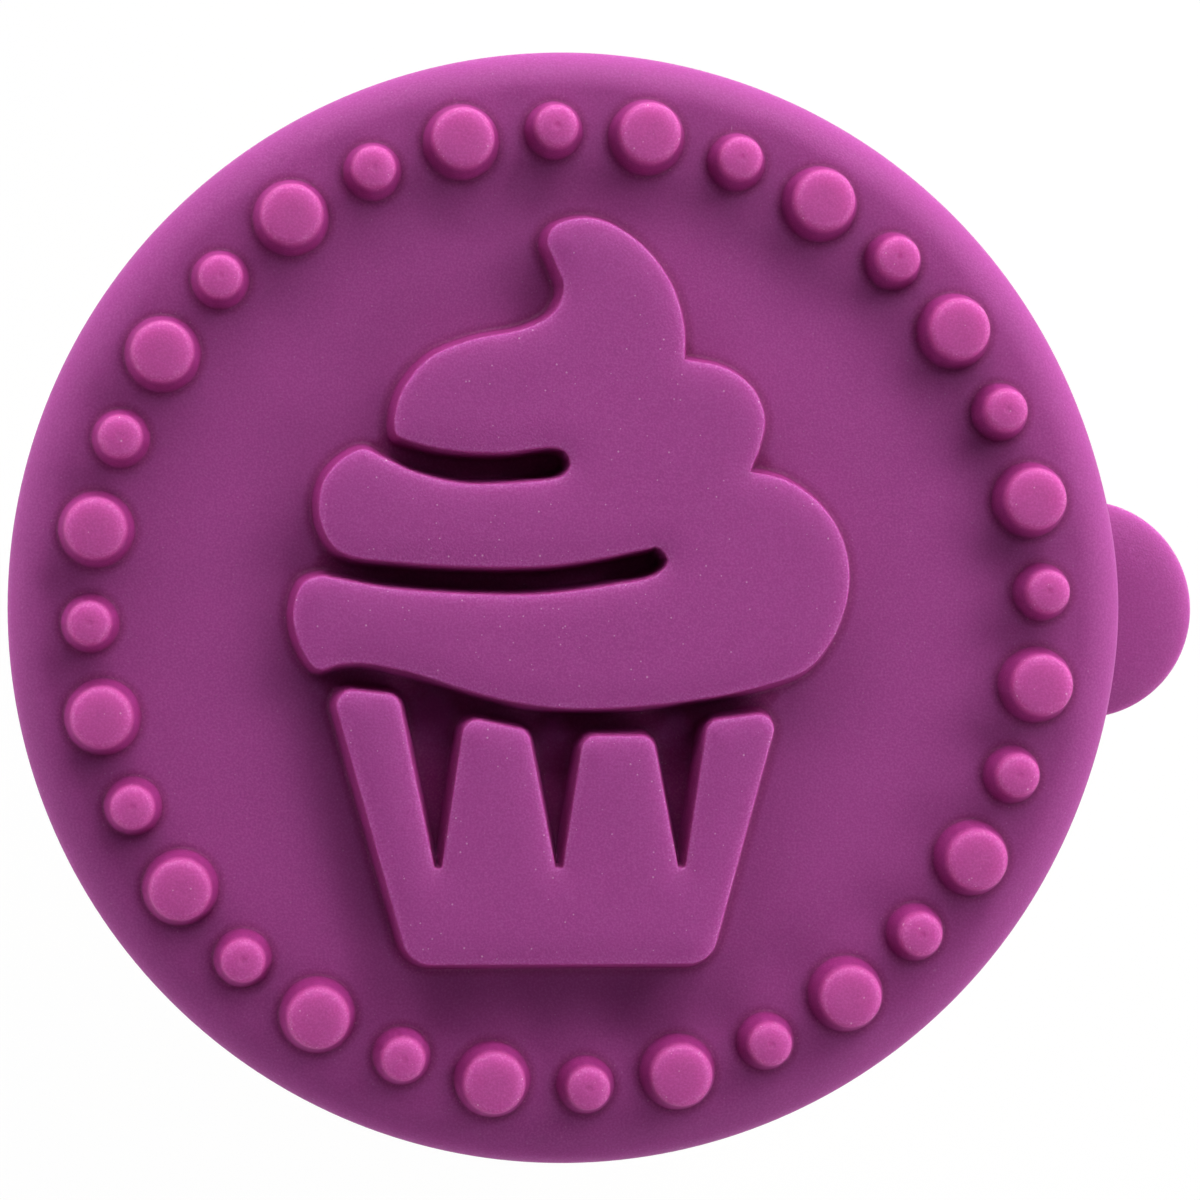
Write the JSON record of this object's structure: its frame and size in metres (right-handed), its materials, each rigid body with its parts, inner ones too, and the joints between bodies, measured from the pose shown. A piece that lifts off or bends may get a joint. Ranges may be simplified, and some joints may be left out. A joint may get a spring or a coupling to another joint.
{
  "type": "cookie stamp",
  "caption": "Round cookie stamp: soft silicone pad with a raised cupcake in a ring of studs and a pull tab, slipped over the wooden head of a turned handle.",
  "frame": {"origin": "centre of the handle's flat end, on which the stamp stands", "axes": "+Z along the handle towards the stamping face, +X towards the pull tab, +Y towards the top of the cupcake figure"},
  "size_m": [0.0705, 0.065, 0.0588],
  "materials": {
    "silicone": "satin moulded silicone, purple",
    "beech": "sanded and oiled beech",
    "screw_steel": "plain bright steel"
  },
  "bodies": {
    "holder": {"handle_grip": "beech", "head_disc": "beech", "handle_screw": "screw_steel"},
    "pad": {"stamp_pad": "silicone"},
    "tab": {"pull_tab": "silicone"}
  },
  "joints": [
    {"name": "pad_lift", "type": "slide", "parent": "holder", "child": "pad", "axis": [0, 0, 1], "range_m": [0, 0.02]},
    {"name": "tab_bend", "type": "hinge", "parent": "pad", "child": "tab", "pos_m": [0.0337, 0, 0.0493], "axis": [0, -1, 0], "range_deg": [-60, 60], "stiffness_Nm_per_rad": 0.01}
  ]
}
